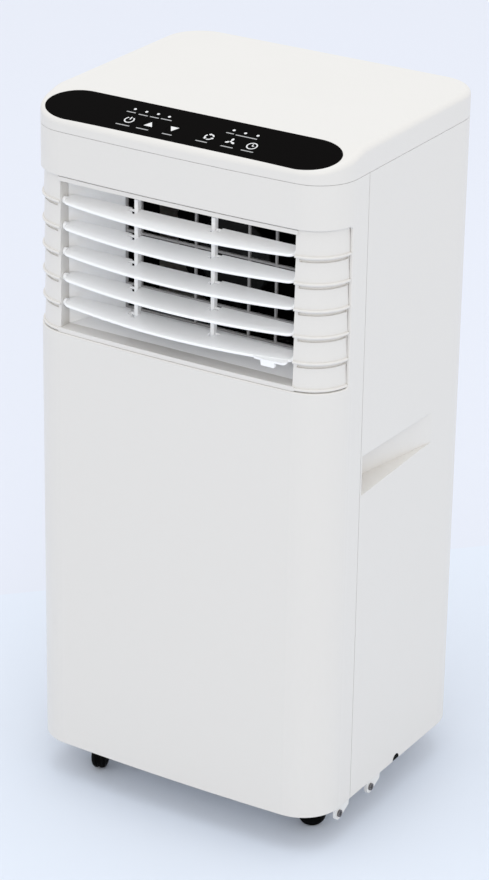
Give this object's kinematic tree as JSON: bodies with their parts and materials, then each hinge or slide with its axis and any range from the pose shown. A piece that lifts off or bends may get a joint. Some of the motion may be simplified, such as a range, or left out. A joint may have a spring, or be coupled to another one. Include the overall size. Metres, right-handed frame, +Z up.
{
  "type": "portable air conditioner",
  "caption": "Floor-standing portable air conditioner: white rounded cabinet, tilting outlet louvres, sloping black control panel, side grips, rear exhaust collar and swivel casters.",
  "frame": {"origin": "on the floor under the centre of the overall box", "axes": "+Z up, +X to the right seen from the front, the air outlet faces -Y and the exhaust collar points along +Y"},
  "size_m": [0.292, 0.33, 0.62],
  "materials": {
    "casing_white": "satin gloss",
    "grille_white": "satin gloss",
    "louvre_white": "satin gloss",
    "panel_black": "high gloss",
    "button_black": "high gloss",
    "circuit_board": "solder mask",
    "duct_white": "satin",
    "guard_grey": "satin",
    "inner_black": "matte",
    "blower_grey": "matte",
    "motor_steel": "galvanised",
    "fin_aluminium": "bare",
    "copper": "bare copper",
    "compressor_black": "satin black",
    "black_rubber": "matte",
    "screw_steel": "zinc plated",
    "tray_white": "satin",
    "capacitor_aluminium": "drawn can",
    "rear_white": "satin gloss",
    "filter_mesh": "woven mesh in a frame",
    "gland_black": "matte",
    "caster_black": "satin",
    "wheel_black": "satin"
  },
  "bodies": {
    "cabinet": {"accumulator": "motor_steel", "base_pan": "tray_white", "capillary_tube": "copper", "case_screws": "screw_steel", "compressor": "compressor_black", "compressor_bolts": "screw_steel", "compressor_grommets": "black_rubber", "condenser_fins": "fin_aluminium", "condenser_tubes": "copper", "control_board": "circuit_board", "control_panel": "panel_black", "cord_gland": "gland_black", "discharge_pipe": "copper", "display_board": "circuit_board", "drip_tray": "tray_white", "electrical_box": "motor_steel", "evaporator_fins": "fin_aluminium", "evaporator_tubes": "copper", "exhaust_collar": "rear_white", "front_panel": "casing_white", "grille_frame": "grille_white", "lower_fan_motor": "compressor_black", "lower_intake_grille": "rear_white", "lower_scroll": "inner_black", "outlet_duct": "duct_white", "outlet_guard": "guard_grey", "rear_housing": "casing_white", "run_capacitor": "capacitor_aluminium", "side_plugs": "black_rubber", "suction_pipe": "copper", "top_cover": "casing_white", "upper_fan_motor": "compressor_black", "upper_scroll": "inner_black"},
    "louvre_1": {"louvre_1": "louvre_white"},
    "louvre_2": {"louvre_2": "louvre_white"},
    "louvre_3": {"louvre_3": "louvre_white"},
    "louvre_4": {"louvre_4": "louvre_white"},
    "louvre_5": {"louvre_5": "louvre_white"},
    "link_left": {"link_bar_left": "louvre_white"},
    "link_right": {"link_bar_right": "louvre_white"},
    "power_button": {"power_button": "button_black"},
    "up_button": {"up_button": "button_black"},
    "down_button": {"down_button": "button_black"},
    "mode_button": {"mode_button": "button_black"},
    "fan_button": {"fan_button": "button_black"},
    "timer_button": {"timer_button": "button_black"},
    "upper_blower": {"upper_blower_wheel": "blower_grey"},
    "lower_blower": {"lower_blower_wheel": "blower_grey"},
    "intake_panel": {"upper_intake_grille": "rear_white", "air_filter": "filter_mesh"},
    "upper_plug": {"upper_drain_plug": "black_rubber"},
    "lower_plug": {"lower_drain_plug": "black_rubber"},
    "fork_front_left": {"caster_fork_front_left": "caster_black"},
    "wheel_front_left": {"caster_wheel_front_left": "wheel_black"},
    "fork_front_right": {"caster_fork_front_right": "caster_black"},
    "wheel_front_right": {"caster_wheel_front_right": "wheel_black"},
    "fork_rear_left": {"caster_fork_rear_left": "caster_black"},
    "wheel_rear_left": {"caster_wheel_rear_left": "wheel_black"},
    "fork_rear_right": {"caster_fork_rear_right": "caster_black"},
    "wheel_rear_right": {"caster_wheel_rear_right": "wheel_black"}
  },
  "joints": [
    {"name": "louvre_5_tilt", "type": "hinge", "parent": "cabinet", "child": "louvre_5", "pos_m": [0, -0.1491, 0.4478], "axis": [1, 0, 0], "range_deg": [-25, 45]},
    {"name": "louvre_1_tilt", "type": "hinge", "parent": "cabinet", "child": "louvre_1", "pos_m": [0, -0.1491, 0.537], "axis": [1, 0, 0], "range_deg": [-25, 45]},
    {"name": "louvre_2_tilt", "type": "hinge", "parent": "cabinet", "child": "louvre_2", "pos_m": [0, -0.1491, 0.5147], "axis": [1, 0, 0], "range_deg": [-25, 45]},
    {"name": "louvre_3_tilt", "type": "hinge", "parent": "cabinet", "child": "louvre_3", "pos_m": [0, -0.1491, 0.4924], "axis": [1, 0, 0], "range_deg": [-25, 45]},
    {"name": "louvre_4_tilt", "type": "hinge", "parent": "cabinet", "child": "louvre_4", "pos_m": [0, -0.1491, 0.4701], "axis": [1, 0, 0], "range_deg": [-25, 45]},
    {"name": "link_left_hinge", "type": "hinge", "parent": "louvre_5", "child": "link_left", "pos_m": [-0.0445, -0.14187, 0.44882], "axis": [1, 0, 0], "range_deg": [-45, 25]},
    {"name": "link_right_hinge", "type": "hinge", "parent": "louvre_5", "child": "link_right", "pos_m": [0.029, -0.14187, 0.44882], "axis": [1, 0, 0], "range_deg": [-45, 25]},
    {"name": "power_press", "type": "slide", "parent": "cabinet", "child": "power_button", "axis": [0, 0.2462, -0.9692], "range_m": [0, 0.0005], "stiffness_N_per_m": 400, "springref_m": -0.002},
    {"name": "up_press", "type": "slide", "parent": "cabinet", "child": "up_button", "axis": [0, 0.2462, -0.9692], "range_m": [0, 0.0005], "stiffness_N_per_m": 400, "springref_m": -0.002},
    {"name": "down_press", "type": "slide", "parent": "cabinet", "child": "down_button", "axis": [0, 0.2462, -0.9692], "range_m": [0, 0.0005], "stiffness_N_per_m": 400, "springref_m": -0.002},
    {"name": "mode_press", "type": "slide", "parent": "cabinet", "child": "mode_button", "axis": [0, 0.2462, -0.9692], "range_m": [0, 0.0005], "stiffness_N_per_m": 400, "springref_m": -0.002},
    {"name": "fan_press", "type": "slide", "parent": "cabinet", "child": "fan_button", "axis": [0, 0.2462, -0.9692], "range_m": [0, 0.0005], "stiffness_N_per_m": 400, "springref_m": -0.002},
    {"name": "timer_press", "type": "slide", "parent": "cabinet", "child": "timer_button", "axis": [0, 0.2462, -0.9692], "range_m": [0, 0.0005], "stiffness_N_per_m": 400, "springref_m": -0.002},
    {"name": "upper_blower_spin", "type": "hinge", "parent": "cabinet", "child": "upper_blower", "pos_m": [0, 0, 0.484], "axis": [0, 1, 0], "continuous": true},
    {"name": "lower_blower_spin", "type": "hinge", "parent": "cabinet", "child": "lower_blower", "pos_m": [0, -0.042, 0.262], "axis": [1, 0, 0], "continuous": true},
    {"name": "intake_panel_pull", "type": "slide", "parent": "cabinet", "child": "intake_panel", "axis": [0, 1, 0], "range_m": [0, 0.06]},
    {"name": "upper_plug_pull", "type": "slide", "parent": "cabinet", "child": "upper_plug", "axis": [0, 1, 0], "range_m": [0, 0.03]},
    {"name": "lower_plug_pull", "type": "slide", "parent": "cabinet", "child": "lower_plug", "axis": [0, 1, 0], "range_m": [0, 0.03]},
    {"name": "swivel_front_left", "type": "hinge", "parent": "cabinet", "child": "fork_front_left", "pos_m": [-0.1, -0.1102, 0.03], "axis": [0, 0, 1], "continuous": true},
    {"name": "roll_front_left", "type": "hinge", "parent": "fork_front_left", "child": "wheel_front_left", "pos_m": [-0.0962, -0.1219, 0.012], "axis": [0.9511, 0.309, 0], "continuous": true},
    {"name": "swivel_front_right", "type": "hinge", "parent": "cabinet", "child": "fork_front_right", "pos_m": [0.1, -0.1102, 0.03], "axis": [0, 0, 1], "continuous": true},
    {"name": "roll_front_right", "type": "hinge", "parent": "fork_front_right", "child": "wheel_front_right", "pos_m": [0.1105, -0.10379, 0.012], "axis": [-0.521, 0.8536, 0], "continuous": true},
    {"name": "swivel_rear_left", "type": "hinge", "parent": "cabinet", "child": "fork_rear_left", "pos_m": [-0.1, 0.058, 0.03], "axis": [0, 0, 1], "continuous": true},
    {"name": "roll_rear_left", "type": "hinge", "parent": "fork_rear_left", "child": "wheel_rear_left", "pos_m": [-0.11115, 0.0528, 0.012], "axis": [0.4226, -0.9063, 0], "continuous": true},
    {"name": "swivel_rear_right", "type": "hinge", "parent": "cabinet", "child": "fork_rear_right", "pos_m": [0.1, 0.058, 0.03], "axis": [0, 0, 1], "continuous": true},
    {"name": "roll_rear_right", "type": "hinge", "parent": "fork_rear_right", "child": "wheel_rear_right", "pos_m": [0.08935, 0.06415, 0.012], "axis": [-0.5, -0.866, 0], "continuous": true}
  ],
  "couplings": [
    {"joint": "louvre_1_tilt", "follows": "louvre_5_tilt", "ratio": 1},
    {"joint": "louvre_2_tilt", "follows": "louvre_5_tilt", "ratio": 1},
    {"joint": "louvre_3_tilt", "follows": "louvre_5_tilt", "ratio": 1},
    {"joint": "louvre_4_tilt", "follows": "louvre_5_tilt", "ratio": 1},
    {"joint": "link_left_hinge", "follows": "louvre_5_tilt", "ratio": -1},
    {"joint": "link_right_hinge", "follows": "louvre_5_tilt", "ratio": -1}
  ]
}
